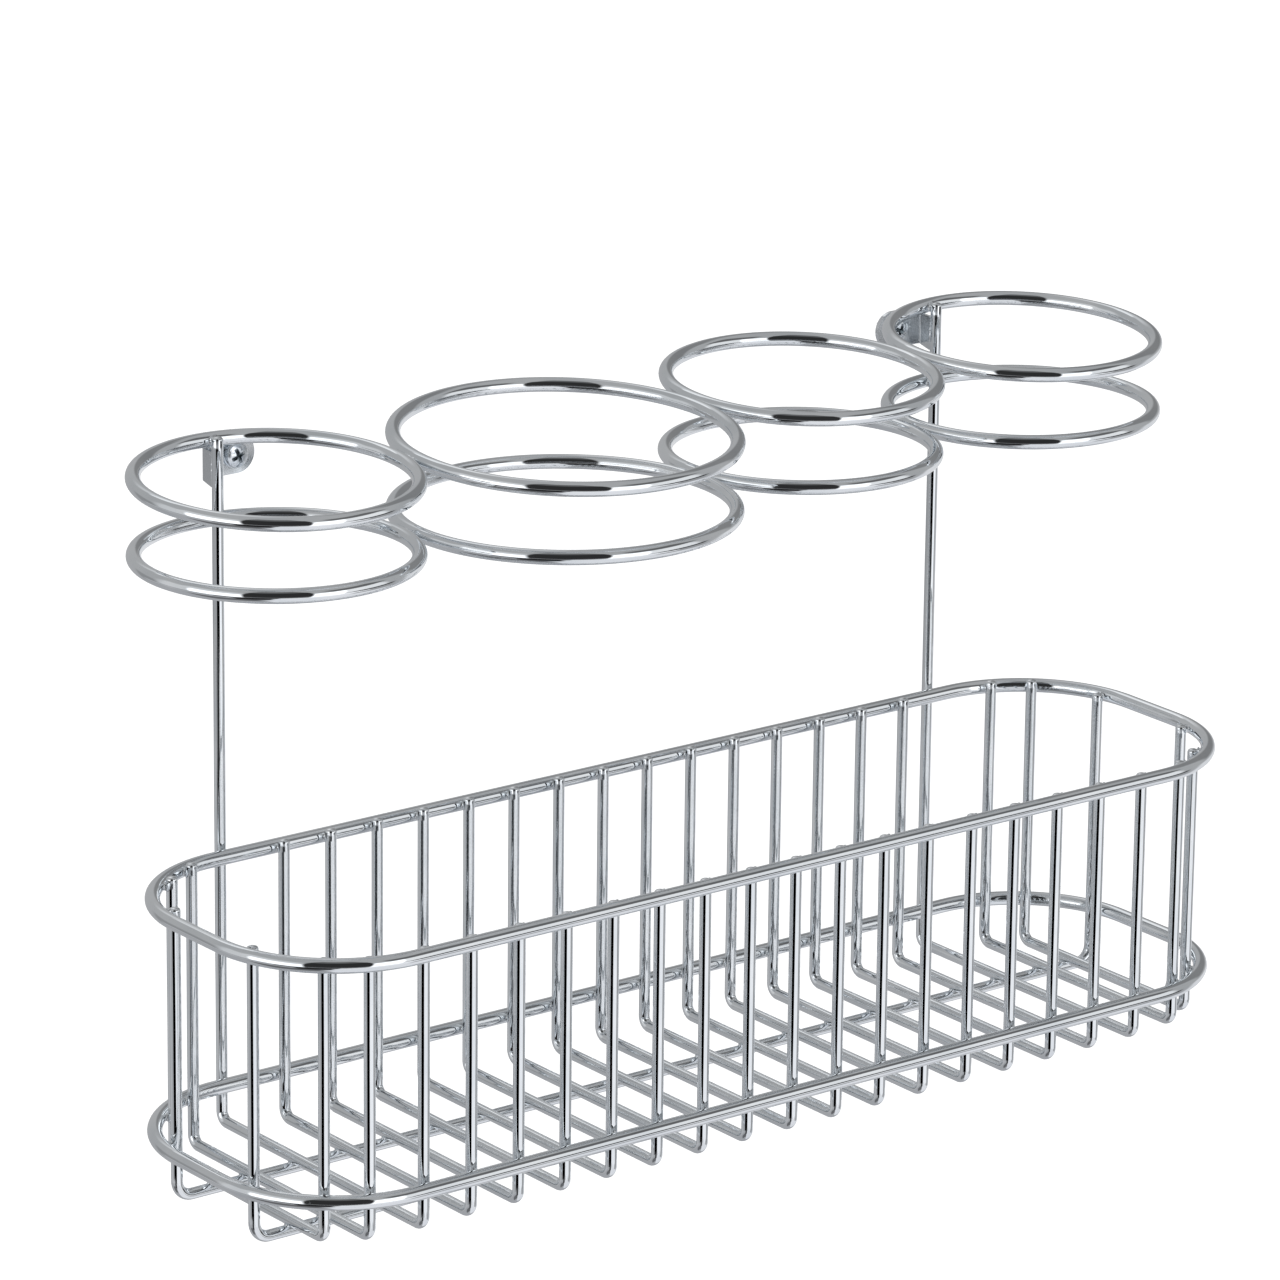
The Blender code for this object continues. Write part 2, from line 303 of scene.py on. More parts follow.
def contact(first, second, near):
    """Where two wires come closest: the middle of the gap, and the direction from one to the other."""
    start = first.points
    best = None
    if near is not None:
        start = start[np.linalg.norm(start - near, axis=1) < CONTACT_SEARCH]
    for place in start:
        foot, _ = second.nearest(place)
        gap = np.linalg.norm(foot - place)
        if best is None or gap < best[0]:
            best = (gap, foot)
    foot = best[1]
    for _ in range(12):
        place, _ = first.nearest(foot)
        foot, _ = second.nearest(place)
    normal = foot - place
    normal /= np.linalg.norm(normal)
    middle = (place + normal * first.radius + foot - normal * second.radius) / 2
    return middle, normal


def bead(first, second, middle, normal, opening, rng):
    """Verts and faces of one weld: a closed collar that fills the groove around the contact of two wires."""
    steps, rows = 28, 9
    _, axis_a = first.nearest(middle)
    _, axis_b = second.nearest(middle)
    across = np.cross(normal, (0.31, 0.52, 0.79))
    across /= np.linalg.norm(across)
    other = np.cross(normal, across)
    phase = rng.uniform(0, 2 * math.pi)
    verts = []
    for k in range(steps):
        angle = 2 * math.pi * k / steps
        outward = math.cos(angle) * across + math.sin(angle) * other
        curve = 1e-3
        for path, axis in ((first, axis_a), (second, axis_b)):
            curve += (1 - outward.dot(axis) ** 2) / path.radius
        lumps = 1 + 0.10 * math.sin(2 * angle + phase) + 0.06 * math.sin(5 * angle + 2 * phase)
        reach = min(math.sqrt(2 * opening * lumps / curve), WELD_LIMIT)
        flat = middle + outward * reach
        end_a = first.on_surface(flat, WELD_SINK)
        end_b = second.on_surface(flat, WELD_SINK)
        waist = middle + outward * reach * (0.66 + 0.05 * math.sin(3 * angle + phase))
        for j in range(rows):
            t = j / (rows - 1)
            verts.append(end_a * (1 - t) ** 2 + 2 * t * (1 - t) * waist + end_b * t**2)
    faces = []
    for k in range(steps):
        n = (k + 1) % steps
        for j in range(rows - 1):
            faces.append((k * rows + j, n * rows + j, n * rows + j + 1, k * rows + j + 1))
    hub_a, hub_b = len(verts), len(verts) + 1
    verts.append(first.on_surface(middle, 0.5 * first.radius))
    verts.append(second.on_surface(middle, 0.5 * second.radius))
    for k in range(steps):
        n = (k + 1) % steps
        faces.append((k * rows, hub_a, n * rows))
        faces.append((k * rows + rows - 1, n * rows + rows - 1, hub_b))
    return verts, faces


def bead_object(name, joints, material, seed):
    """All the welds of one row, as closed collars in one object. A joint is the two wires' paths and the
    opening of the weld between them, with a place near it where they meet more than once."""
    rng = random.Random(seed)
    verts, faces = [], []
    for first, second, opening, near in joints:
        middle, normal = contact(first, second, near)
        size = opening * rng.uniform(0.85, 1.2)
        new_verts, new_faces = bead(first, second, middle, normal, size, rng)
        base = len(verts)
        verts += new_verts
        faces += [tuple(base + i for i in face) for face in new_faces]
    mesh = smooth_mesh(name, verts, faces)
    fix_normals(mesh)
    return add_object(name, mesh, material)


# ---------------------------------------------------------------- materials

class Nodes:
    """Short names for making shader nodes."""

    def __init__(self, tree):
        self.tree = tree

    def add(self, kind, settings=None, **inputs):
        node = self.tree.nodes.new(kind)
        for key, value in (settings or {}).items():
            setattr(node, key, value)
        for key, value in inputs.items():
            self.put(node.inputs[key.replace("_", " ")], value)
        return node

    def put(self, socket, value):
        if isinstance(value, bpy.types.NodeSocket):
            self.tree.links.new(value, socket)
        else:
            socket.default_value = value

    def noise(self, vector, scale, detail=3.0, rough=0.55):
        node = self.add("ShaderNodeTexNoise", Vector=vector, Scale=scale, Detail=detail, Roughness=rough)
        return node.outputs["Fac"]

    def stretch(self, vector, scale):
        node = self.add("ShaderNodeMapping", Vector=vector, Scale=scale)
        return node.outputs["Vector"]

    def remap(self, value, low, high, to_low, to_high, smooth=False):
        node = self.add("ShaderNodeMapRange", {"interpolation_type": "SMOOTHSTEP" if smooth else "LINEAR"})
        for key, number in (("Value", value), ("From Min", low), ("From Max", high),
                            ("To Min", to_low), ("To Max", to_high)):
            self.put(node.inputs[key], number)
        return node.outputs["Result"]

    def math(self, operation, *values):
        node = self.add("ShaderNodeMath", {"operation": operation})
        for socket, value in zip(node.inputs, values):
            self.put(socket, value)
        return node.outputs["Value"]

    def mix(self, factor, first, second):
        node = self.add("ShaderNodeMix", {"data_type": "RGBA"})
        self.put(node.inputs[0], factor)
        self.put(node.inputs[6], first)
        self.put(node.inputs[7], second)
        return node.outputs[2]

    def bump(self, height, strength, distance, normal=None):
        node = self.add("ShaderNodeBump", Height=height, Strength=strength, Distance=distance)
        if normal is not None:
            self.put(node.inputs["Normal"], normal)
        return node.outputs["Normal"]


def new_metal(name):
    material = bpy.data.materials.new(name)
    material.use_nodes = True
    nodes = Nodes(material.node_tree)
    shader = material.node_tree.nodes["Principled BSDF"]
    shader.inputs["Metallic"].default_value = 1.0
    return material, nodes, shader


def chrome(name, on_wire, tone=1.0, haze=0.0, lumps=0.0):
    """Polished chrome plate: near-mirror, with faint drawing lines along a wire, soft thickness
    variation of the plating, fine pits and the odd dried water spot."""
    material, nodes, shader = new_metal(name)
    coords = nodes.add("ShaderNodeTexCoord")
    place = coords.outputs["Object"]
    broad = nodes.noise(place, 45.0, 3.0)
    fine = nodes.noise(place, 900.0, 4.0)
    pits = nodes.noise(place, 3800.0, 2.0, 0.4)
    spots = nodes.add("ShaderNodeTexVoronoi", Vector=place, Scale=260.0).outputs["Distance"]
    spot = nodes.remap(spots, 0.05, 0.16, 1.0, 0.0, smooth=True)
    some = nodes.remap(nodes.noise(place, 90.0, 1.0), 0.56, 0.64, 0.0, 1.0, smooth=True)
    spot = nodes.math("MULTIPLY", spot, some)
    light = tuple(c * tone for c in (0.86, 0.885, 0.905)) + (1.0,)
    deep = tuple(c * tone for c in (0.76, 0.795, 0.825)) + (1.0,)
    colour = nodes.mix(nodes.remap(broad, 0.35, 0.68, 0.0, 1.0), light, deep)
    pit_shade = nodes.remap(pits, 0.66, 0.74, 0.0, 0.35, smooth=True)
    colour = nodes.mix(pit_shade, colour, (0.45, 0.46, 0.48, 1.0))
    nodes.put(shader.inputs["Base Color"], colour)
    rough = nodes.remap(fine, 0.3, 0.75, 0.02 + haze, 0.06 + haze)
    rough = nodes.math("ADD", rough, nodes.math("MULTIPLY", spot, 0.12))
    nodes.put(shader.inputs["Roughness"], rough)
    height = nodes.math("ADD", nodes.math("MULTIPLY", fine, 0.5), nodes.math("MULTIPLY", pits, 0.3))
    if on_wire:
        lines = nodes.noise(nodes.stretch(coords.outputs["UV"], (70.0, 45.0, 1.0)), 1.0, 4.0, 0.6)
        height = nodes.math("ADD", height, nodes.math("MULTIPLY", lines, 0.45))
    normal = nodes.bump(height, 0.2, 0.012 * MM)
    if lumps:
        normal = nodes.bump(nodes.noise(place, 1500.0, 2.0), lumps, 0.12 * MM, normal)
    nodes.put(shader.inputs["Normal"], normal)
    return material


def zinc(name):
    """Bright zinc plate on a rolled screw: bluish, a little cloudy and grainy, with painted shade and dirt
    darkening the recess.
    """
    material, nodes, shader = new_metal(name)
    place = nodes.add("ShaderNodeTexCoord").outputs["Object"]
    cloud = nodes.noise(place, 420.0, 4.0)
    tint = nodes.noise(place, 160.0, 2.0)
    grain = nodes.noise(place, 5200.0, 3.0)
    blue, pale, straw, shade_and_dirt = (0.62, 0.68, 0.74), (0.80, 0.83, 0.86), (0.72, 0.72, 0.64), (0.05, 0.07, 0.08)
    colour = nodes.mix(nodes.remap(cloud, 0.3, 0.7, 0.0, 1.0), (*blue, 1.0), (*pale, 1.0))
    colour = nodes.mix(nodes.remap(tint, 0.55, 0.7, 0.0, 0.35), colour, (*straw, 1.0))
    # Painted shade, partly dirt: the deeper the recess, the nearer its colour goes to near black.
    recess_darkening = nodes.add("ShaderNodeAttribute", {"attribute_name": "recess_darkening"}).outputs["Fac"]
    colour = nodes.mix(nodes.remap(recess_darkening, 0.15, 1.0, 0.0, 0.92, smooth=True), colour, (*shade_and_dirt, 1.0))
    nodes.put(shader.inputs["Base Color"], colour)
    nodes.put(shader.inputs["Roughness"], nodes.remap(cloud, 0.3, 0.75, 0.10, 0.20))
    normal = nodes.bump(grain, 0.3, 0.02 * MM)
    nodes.put(shader.inputs["Normal"], nodes.bump(cloud, 0.25, 0.05 * MM, normal))
    return material


# ---------------------------------------------------------------- brackets and screws

def filled_outline(outer, holes):
    """A flat bmesh in the XY plane from an outline and its holes."""
    curve = bpy.data.curves.new("outline", "CURVE")
    curve.dimensions = "2D"
    curve.fill_mode = "BOTH"
    for loop in [outer] + holes:
        spline = curve.splines.new("POLY")
        spline.points.add(len(loop) - 1)
        for point, place in zip(spline.points, loop):
            point.co = (*place, 0.0, 1.0)
        spline.use_cyclic_u = True
    source = bpy.data.objects.new("outline", curve)
    bpy.context.scene.collection.objects.link(source)
    mesh = bpy.data.meshes.new_from_object(source.evaluated_get(bpy.context.evaluated_depsgraph_get()))
    bpy.data.objects.remove(source)
    bpy.data.curves.remove(curve)
    work = bmesh.new()
    work.from_mesh(mesh)
    bpy.data.meshes.remove(mesh)
    bmesh.ops.remove_doubles(work, verts=work.verts, dist=1e-6)
    return work


def make_bracket(side, material):
    """A wall plate with a round end and a screw hole, bent forward into a flange behind the upright.

    The blank is drawn flat, u across from the flange's front edge and v up, then wrapped around the bend.
    """
    node = f"bracket_{side}"
    low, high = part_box(node)
    wire_low, wire_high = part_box(f"upright_{side}")
    screw_low, screw_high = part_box(f"screw_{side}")
    wire_x = (wire_low.x + wire_high.x) / 2
    hole_x = (screw_low.x + screw_high.x) / 2
    mirror = 1.0 if hole_x > wire_x else -1.0
    middle = PLATE_BEND - SHEET / 2
    flange_length = -low.y - PLATE_BEND
    turn = middle * math.pi / 2
    edge_x = wire_x - mirror * SHEET / 2
    plate_end = abs((high.x if mirror > 0 else low.x) - edge_x)
    plate_length = plate_end - PLATE_BEND
    hole_u = flange_length + turn + abs(hole_x - edge_x) - PLATE_BEND
    end_u = flange_length + turn + plate_length
    round_u = end_u - PLATE_HALF_HEIGHT
    slope_u = flange_length + turn * 0.8
    outer = [(0.0, low.z + CORNER_CUT), (0.35 * MM, low.z)]
    outer += [(slope_u - 0.5 * MM, -PLATE_HALF_HEIGHT - 0.05 * MM), (slope_u, -PLATE_HALF_HEIGHT)]
    outer += arc((round_u, 0.0), PLATE_HALF_HEIGHT, -90, 90, 28)
    outer += [(slope_u, PLATE_HALF_HEIGHT), (slope_u - 1.1 * MM, PLATE_HALF_HEIGHT - 0.7 * MM)]
    outer += [(slope_u - 1.9 * MM, FLANGE_TOP), (CORNER_CUT, FLANGE_TOP), (0.0, FLANGE_TOP - CORNER_CUT)]
    hole = arc((hole_u, 0.0), PLATE_HOLE, 0, 360, 40)[:-1]
    work = filled_outline(outer, [hole])
    for k in range(9):
        cut = flange_length + turn * k / 8
        bmesh.ops.bisect_plane(work, geom=work.verts[:] + work.edges[:] + work.faces[:], dist=1e-7,
                               plane_co=(cut, 0, 0), plane_no=(1, 0, 0))
    flat = {v: (v.co.x, v.co.y) for v in work.verts}

    def wrapped(u, v, lift):
        """lift is the distance from the sheet's middle towards the bend's inside."""
        radius = middle - lift
        if u < flange_length:
            x, y = SHEET / 2 + lift, -(PLATE_BEND + flange_length - u)
        elif u < flange_length + turn:
            angle = (u - flange_length) / middle
            x = PLATE_BEND - radius * math.cos(angle)
            y = -PLATE_BEND + radius * math.sin(angle)
        else:
            x, y = PLATE_BEND + u - flange_length - turn, -PLATE_BEND + radius
        return Vector((edge_x + mirror * x, y, v))

    for v, (u, height) in flat.items():
        v.co = wrapped(u, height, SHEET / 2)
    near_faces = list(work.faces)
    border = [e for e in work.edges if len(e.link_faces) == 1]
    twins = {v: work.verts.new(wrapped(u, height, -SHEET / 2)) for v, (u, height) in flat.items()}
    for face in near_faces:
        work.faces.new([twins[v] for v in reversed(face.verts)])
    for edge in border:
        a, b = edge.verts
        work.faces.new((a, b, twins[b], twins[a]))
    bmesh.ops.recalc_face_normals(work, faces=work.faces)
    bmesh.ops.dissolve_limit(work, angle_limit=math.radians(1), verts=work.verts, edges=work.edges)
    mesh = bpy.data.meshes.new(f"wall_plate_{side}")
    work.to_mesh(mesh)
    work.free()
    plate = add_object(f"wall_plate_{side}", mesh, material)
    bevel = plate.modifiers.new("pressed_edges", "BEVEL")
    bevel.width = 0.22 * MM
    bevel.segments = 3
    bevel.limit_method = "ANGLE"
    bevel.angle_limit = math.radians(35)
    mesh.shade_smooth()
    weighted = plate.modifiers.new("flat_faces", "WEIGHTED_NORMAL")
    weighted.keep_sharp = True
    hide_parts(node)
    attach(plate, "root")


def recess_depth(x, y, radius):
    """Depth of a cross recess: four tapered wings that run together into a deeper middle."""
    away = math.hypot(x, y)
    reach = 0.60 * radius
    depth = 0.0
    for along, aside in ((abs(x), abs(y)), (abs(y), abs(x))):
        wing = 1.0 - smooth(RECESS_HALF_WIDTH - 0.10 * MM, RECESS_HALF_WIDTH + 0.12 * MM, aside)
        end = 1.0 - smooth(reach - 0.2 * MM, reach + 0.15 * MM, along)
        depth = max(depth, wing * end * (1.35 * MM - 0.45 * along))
    cone = (1.0 - smooth(0.5 * MM, 0.95 * MM, away)) * 1.4 * MM
    return max(depth, cone)


def smooth(low, high, value):
    """0 at low, 1 at high, with an S-shaped rise between."""
    t = min(max((value - low) / (high - low), 0.0), 1.0)
    return t * t * (3 - 2 * t)


def make_screw(side, material):
    """Pan-head screw: domed head with a cross recess, plain neck, rolled thread and a point.

    It is turned about Z with its seat at height 0, row by row from the crown to the point, then laid along Y.
    """
    node = f"screw_{side}"
    low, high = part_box(node)
    centre_x = (low.x + high.x) / 2
    head_radius = (high.x - low.x) / 2
    head_height = SEAT_Y - low.y
    reach = high.y - SEAT_Y
    around, crown_rows, thread_rows = 160, 46, 90
    profile = []
    for k in range(1, crown_rows + 1):
        r = head_radius * 0.86 * k / crown_rows
        profile.append((r, head_height - 0.42 * head_height * (r / head_radius) ** 2.2, True))
    last_r, last_h, _ = profile[-1]
    for angle in range(12, 91, 13):
        a = math.radians(angle)
        profile.append((last_r + (head_radius - last_r) * math.sin(a),
                        0.22 * head_height + (last_h - 0.22 * head_height) * math.cos(a), False))
    profile += [(head_radius, 0.1 * head_height, False), (head_radius * 0.97, 0.0, False),
                (THREAD_CREST, 0.0, False), (THREAD_CREST, THREAD_STARTS_AT, False)]
    tilt = math.radians(SCREW_TURN_DEG[side])
    verts = [(0.0, 0.0, head_height - recess_depth(0, 0, head_radius))]
    drops = [recess_depth(0, 0, head_radius)]
    for r, h, on_crown in profile:
        for j in range(around):
            a = 2 * math.pi * j / around
            x, y = r * math.cos(a), r * math.sin(a)
            drop = recess_depth(*turned(x, y, -tilt), head_radius) if on_crown else 0.0
            verts.append((x, y, h - drop))
            drops.append(drop)
    for k in range(1, thread_rows + 1):
        h = THREAD_STARTS_AT - (reach + THREAD_STARTS_AT - 0.05 * MM) * k / thread_rows
        start = smooth(0.0, 1.5 * MM, THREAD_STARTS_AT - h)
        taper = min(1.0, (reach + h) / SCREW_POINT)
        for j in range(around):
            a = 2 * math.pi * j / around
            phase = (-h / THREAD_PITCH - j / around) % 1.0
            ridge = max(0.0, 1.0 - abs(phase - 0.5) / 0.30)
            r = (THREAD_CORE + (THREAD_CREST - THREAD_CORE) * ridge * start) * taper + 0.02 * MM
            verts.append((r * math.cos(a), r * math.sin(a), h))
    verts.append((0.0, 0.0, -reach))
    ring_count = len(profile) + thread_rows
    faces = []
    for j in range(around):
        n = (j + 1) % around
        faces.append((0, 1 + j, 1 + n))
        for k in range(ring_count - 1):
            base = 1 + k * around
            faces.append((base + j, base + around + j, base + around + n, base + n))
        base = 1 + (ring_count - 1) * around
        faces.append((base + j, len(verts) - 1, base + n))
    place = Matrix.Translation((centre_x, SEAT_Y, 0.0)) @ Matrix.Rotation(math.radians(90), 4, "X")
    mesh = smooth_mesh(f"wall_screw_{side}", [place @ Vector(v) for v in verts], faces)
    drops += [0.0] * (len(verts) - len(drops))
    # The recess's depth, which the material turns into painted shade and dirt.
    recess_darkening = mesh.attributes.new("recess_darkening", "FLOAT", "POINT")
    recess_darkening.data.foreach_set("value", [min(1.0, drop / RECESS_DARK_AT) for drop in drops])
    fix_normals(mesh)
    screw = add_object(f"wall_screw_{side}", mesh, material)
    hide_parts(node)
    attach(screw, "root")


def turned(x, y, angle):
    """A 2D place turned about the origin."""
    return (x * math.cos(angle) - y * math.sin(angle), x * math.sin(angle) + y * math.cos(angle))


# ---------------------------------------------------------------- the holder

def make_wires(material):
    """Every wire of the holder, round and slightly wavered; returns the wires' paths by node."""
    noise.seed_set(WAVER_SEED)
    paths = {}
    for number, node in enumerate(sorted(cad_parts)):
        if node.endswith("_rim"):
            path = rim_path(node)
        elif node.startswith("ring_"):
            path = ring_path(node)
        elif node.startswith(("cross_wire", "upright")):
            path = cross_path(node)
        elif node.startswith("long_wire"):
            path = long_path(node)
        else:
            continue
        paths[node] = wavered(path, number)
        wire = tube("chrome_" + node, path, material, 36 if path.radius > THIN else 28)
        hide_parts(node)
        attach(wire, "root")
    return paths


def make_welds(paths, material):
    legs = [n for n in paths if n.startswith(("cross_wire", "upright"))]
    longs = [n for n in paths if n.startswith("long_wire")]
    rows = {}
    for rim in ("top_rim", "bottom_rim"):
        outline = paths[rim]
        height = outline.points[0][2]
        for place, edge in (("front", np.min), ("rear", np.max)):
            joints = []
            for node in legs:
                near = np.array((paths[node].points[0][0], edge(paths[node].points[:, 1]), height))
                joints.append((paths[node], outline, RIM_WELD, near))
            rows[f"welds_{rim}_{place}"] = joints
        joints = []
        for node in longs:
            for end in (0, -1):
                x, y, _ = paths[node].points[end]
                joints.append((paths[node], outline, RIM_WELD, np.array((x, y, height))))
        rows[f"welds_{rim}_ends"] = joints
    for long_node in longs:
        run = paths[long_node]
        y, z = run.points[:, 1].mean(), run.points[:, 2].min()
        joints = []
        for node in legs:
            near = np.array((paths[node].points[0][0], y, z + 2 * THIN))
            joints.append((paths[node], run, LONG_WIRE_WELD, near))
        rows["welds_under_" + long_node] = joints
    for level in LEVELS:
        rings = [paths[f"ring_{column}_{level}"] for column in COLUMNS]
        joints = [(first, second, RING_WELD, None) for first, second in zip(rings, rings[1:])]
        for side in SIDES:
            upright, ring = paths[f"upright_{side}"], paths[f"ring_{side}_{level}"]
            rear = upright.points[upright.points[:, 1].argmax()]
            near = np.array((rear[0], rear[1], min(ring.points[0][2], upright.points[-1][2])))
            joints.append((upright, ring, UPRIGHT_WELD, near))
        rows[f"welds_rings_{level}"] = joints
    for seed, (name, joints) in enumerate(rows.items()):
        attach(bead_object(name, joints, material, seed), "root")


def make_plate_welds(material):
    """An upright weld run between each flange's front edge and the upright before it."""
    for side in SIDES:
        low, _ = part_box(f"bracket_{side}")
        wire_low, wire_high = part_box(f"upright_{side}")
        x = (wire_low.x + wire_high.x) / 2
        y = low.y - 0.1 * MM
        bottom, top = low.z + CORNER_CUT, FLANGE_TOP - CORNER_CUT
        verts, faces = [], []
        rows, around = 15, 20
        for k in range(rows + 1):
            z = bottom + (top - bottom) * k / rows
            swell = math.sin(math.pi * (k + 0.35) / (rows + 0.7)) ** 0.4
            half_width = 1.0 * MM * swell * (1 + 0.08 * math.sin(k * 2.1))
            half_depth = 0.75 * MM * swell
            for j in range(around):
                a = 2 * math.pi * j / around
                verts.append((x + half_width * math.cos(a), y + half_depth * math.sin(a), z))
        for k in range(rows):
            for j in range(around):
                n = (j + 1) % around
                faces.append((k * around + j, k * around + n, (k + 1) * around + n, (k + 1) * around + j))
        faces.append(tuple(range(around)))
        faces.append(tuple(rows * around + j for j in range(around)))
        mesh = smooth_mesh(f"plate_weld_{side}", verts, faces)
        fix_normals(mesh)
        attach(add_object(f"plate_weld_{side}", mesh, material), "root")


# ---------------------------------------------------------------- studio

CAMERA_PLACE = (-1.2101, -1.6133, 0.5503)
CAMERA_AZIMUTH = -37.454
CAMERA_DOWN = 17.290
CAMERA_ROLL = 0.652
CAMERA_LENS = 198.97
FLOOR_Z = -0.34
FLOOR_HALF_SIZE = 6.0


def make_camera():
    data = bpy.data.cameras.new("camera")
    data.lens = CAMERA_LENS
    data.sensor_width = 36.0
    data.clip_start, data.clip_end = 0.05, 50.0
    camera = bpy.data.objects.new("camera", data)
    bpy.context.scene.collection.objects.link(camera)
    turn = Matrix.Rotation(math.radians(CAMERA_AZIMUTH), 4, "Z")
    turn = turn @ Matrix.Rotation(math.radians(90 - CAMERA_DOWN), 4, "X")
    turn = turn @ Matrix.Rotation(math.radians(CAMERA_ROLL), 4, "Z")
    camera.matrix_world = Matrix.Translation(CAMERA_PLACE) @ turn
    bpy.context.scene.camera = camera


# The studio around the holder, painted in layers, later ones over earlier ones. Angles are in degrees. The
# azimuth is 0 towards the camera and grows anticlockwise as seen from above, so it is positive on the right
# of the picture. Each edge has its softness, and a layer leans by `lean` degrees of azimuth for each degree
# of elevation. Rows: azimuth low, high, softness, lean; elevation low, high, softness; brightness.
CAMERA_SIDE = CAMERA_AZIMUTH - 90.0
GREY_ROOM = 0.43
LAYERS = (
    (-180, 180, 0, 0.0, 50, 95, 12, 0.42),  # ceiling
    (-178, -150, 10, 0.0, 28, 58, 12, 0.66),  # behind the holder on the left, high
    (-172, -142, 6, 0.0, 38, 49, 3, 0.95),  # a lamp there
    (-128, -92, 10, 0.0, -26, 2, 8, 0.31),  # beside the holder on the left
    (118, 180, 14, 0.0, -50, -6, 8, 0.78),  # behind it on the right, low
    (128, 176, 10, 0.0, 4, 48, 10, 0.24),  # behind it on the right, high
    (68, 128, 14, 0.0, -95, -35, 6, 0.84),  # pale floor on the right
    (-6, 70, 10, 0.0, -95, -24, 6, 0.86),  # pale floor in front
    (-78, -12, 10, 0.0, -64, -36, 8, 0.15),  # dark floor on the left
    (-26, 32, 5, 0.0, 36, 76, 8, 0.13),  # dark hall behind the camera, its top
    (-26, 31, 3, 0.05, -10, 54, 10, 0.03),  # the hall
    (-32, 0, 6, 0.0, -42, -18, 6, 0.035),  # the hall's foot
    (48, 104, 8, 0.0, 31, 52, 6, 0.14),  # above the right panel
    (54, 94, 8, 0.0, -7, 29, 5, 0.88),  # right panel, its dim side
    (30, 56, 3, 0.1, -24, 28, 8, 1.50),  # right panel
    (-98, -62, 14, 0.0, -24, 30, 12, 0.66),  # left panel, its dim side
    (-80, -26, 8, 0.0, 18, 44, 14, 0.68),  # left panel, its top
    (-68, -23, 4, -0.05, -22, 24, 8, 1.50),  # left panel
    (62, 102, 8, 0.0, -14, -5, 2.5, 0.0),  # dark line below the right panel
    (66, 106, 8, 0.0, -34, -24, 4, 0.40),  # grey line at the pale floor's edge
    # The strip below the panels that the uprights show above the basket: left panel, right panel, hall.
    (-98, -24, 5, 0.0, -18.2, -13.5, 1.2, 0.38),
    (31, 70, 4, 0.0, -18.2, -13.5, 1.2, 1.10),
    (-27, 27, 4, 0.0, -18.2, -13.5, 1.2, 0.0),
    # The strip under it that the basket's legs show, from left to right.
    (-120, -84, 10, 0.0, -24, -17.8, 1.2, 0.52),
    (-84, -48, 10, 0.0, -24, -17.8, 1.2, 0.43),
    (-48, 5, 4, 0.0, -24, -17.8, 1.2, 0.0),
    (5, 80, 4, 0.0, -24, -17.8, 1.2, 0.98),
    (80, 104, 6, 0.0, -24, -17.8, 1.2, 0.30),
)


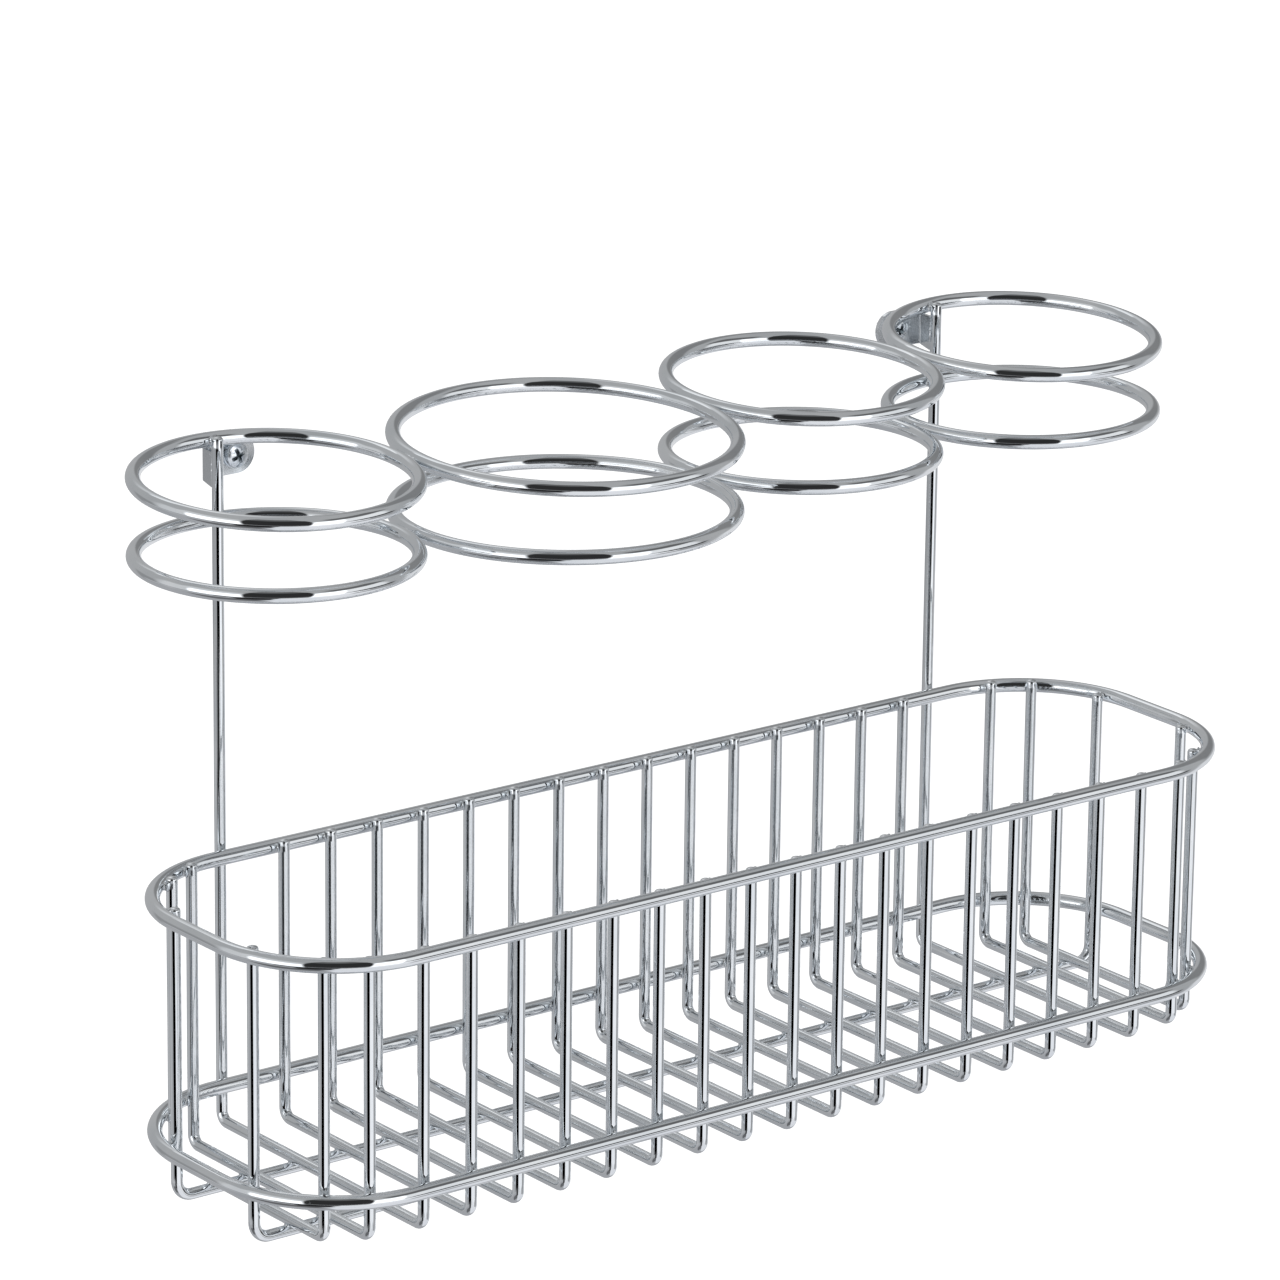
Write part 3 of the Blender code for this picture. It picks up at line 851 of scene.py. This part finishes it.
def make_world():
    """The studio that the chrome reflects, from LAYERS, and plain white where the camera looks past it."""
    world = bpy.data.worlds.new("studio")
    bpy.context.scene.world = world
    world.use_nodes = True
    tree = world.node_tree
    nodes = Nodes(tree)
    background = tree.nodes["Background"]
    direction = nodes.add("ShaderNodeTexCoord").outputs["Generated"]
    turned_to_camera = nodes.add("ShaderNodeVectorRotate", {"rotation_type": "Z_AXIS"}, Vector=direction,
                                 Angle=-math.radians(CAMERA_SIDE)).outputs["Vector"]
    xyz = nodes.add("ShaderNodeSeparateXYZ", Vector=turned_to_camera)
    to_degrees = 180 / math.pi
    azimuth = nodes.math("MULTIPLY", nodes.math("ARCTAN2", xyz.outputs["Y"], xyz.outputs["X"]), to_degrees)
    elevation = nodes.math("MULTIPLY", nodes.math("ARCSINE", xyz.outputs["Z"]), to_degrees)

    def band(value, low, high, soft):
        rise = nodes.remap(value, low - soft / 2, low + soft / 2, 0.0, 1.0, smooth=True)
        fall = nodes.remap(value, high - soft / 2, high + soft / 2, 1.0, 0.0, smooth=True)
        return nodes.math("MULTIPLY", rise, fall)

    total = GREY_ROOM
    for az_low, az_high, az_soft, lean, el_low, el_high, el_soft, bright in LAYERS:
        mask = band(elevation, el_low, el_high, el_soft)
        if az_soft:
            across = azimuth
            if lean:
                across = nodes.math("SUBTRACT", azimuth, nodes.math("MULTIPLY", elevation, lean))
            mask = nodes.math("MULTIPLY", mask, band(across, az_low, az_high, az_soft))
        blend = nodes.add("ShaderNodeMix", {"data_type": "FLOAT"})
        nodes.put(blend.inputs[0], mask)
        nodes.put(blend.inputs[2], total)
        nodes.put(blend.inputs[3], bright)
        total = blend.outputs[0]
    cool = nodes.remap(elevation, -60.0, 20.0, 1.0, 0.0, smooth=True)
    tint = nodes.mix(cool, (0.985, 0.99, 1.0, 1.0), (0.955, 0.96, 1.0, 1.0))
    studio = nodes.add("ShaderNodeVectorMath", {"operation": "SCALE"})
    nodes.put(studio.inputs[0], tint)
    nodes.put(studio.inputs["Scale"], total)
    seen = nodes.add("ShaderNodeLightPath").outputs["Is Camera Ray"]
    nodes.put(background.inputs["Color"], nodes.mix(seen, studio.outputs[0], (1.0, 1.0, 1.0, 1.0)))


def make_floor():
    """A pale floor well below the holder, which the chrome doesn't reflect."""
    half, z = FLOOR_HALF_SIZE, FLOOR_Z
    corners = [(-half, -half, z), (half, -half, z), (half, half, z), (-half, half, z)]
    mesh = bpy.data.meshes.new("floor")
    mesh.from_pydata(corners, [], [(0, 1, 2, 3)])
    material = bpy.data.materials.new("pale_floor")
    material.use_nodes = True
    nodes = Nodes(material.node_tree)
    shader = material.node_tree.nodes["Principled BSDF"]
    place = nodes.add("ShaderNodeTexCoord").outputs["Object"]
    tone = nodes.mix(nodes.noise(place, 3.0, 2.0), (0.90, 0.90, 0.905, 1.0), (0.93, 0.93, 0.93, 1.0))
    nodes.put(shader.inputs["Base Color"], tone)
    shader.inputs["Roughness"].default_value = 0.8
    shader.inputs["Specular IOR Level"].default_value = 0.1
    shader.inputs["Emission Color"].default_value = (1.0, 1.0, 1.0, 1.0)
    shader.inputs["Emission Strength"].default_value = 0.78
    floor = add_object("floor", mesh, material)
    floor.visible_glossy = False


def main():
    plated = chrome("chrome_wire", on_wire=True)
    welded = chrome("chrome_weld", on_wire=False, tone=0.92, haze=0.05, lumps=0.35)
    pressed = chrome("chrome_plate", on_wire=False, tone=0.96, haze=0.12)
    screw_zinc = zinc("screw_zinc")
    paths = make_wires(plated)
    make_welds(paths, welded)
    make_plate_welds(welded)
    for side in SIDES:
        make_bracket(side, pressed)
        make_screw(side, screw_zinc)
    make_camera()
    make_world()
    make_floor()
    bpy.context.scene.view_settings.view_transform = "Standard"


main()
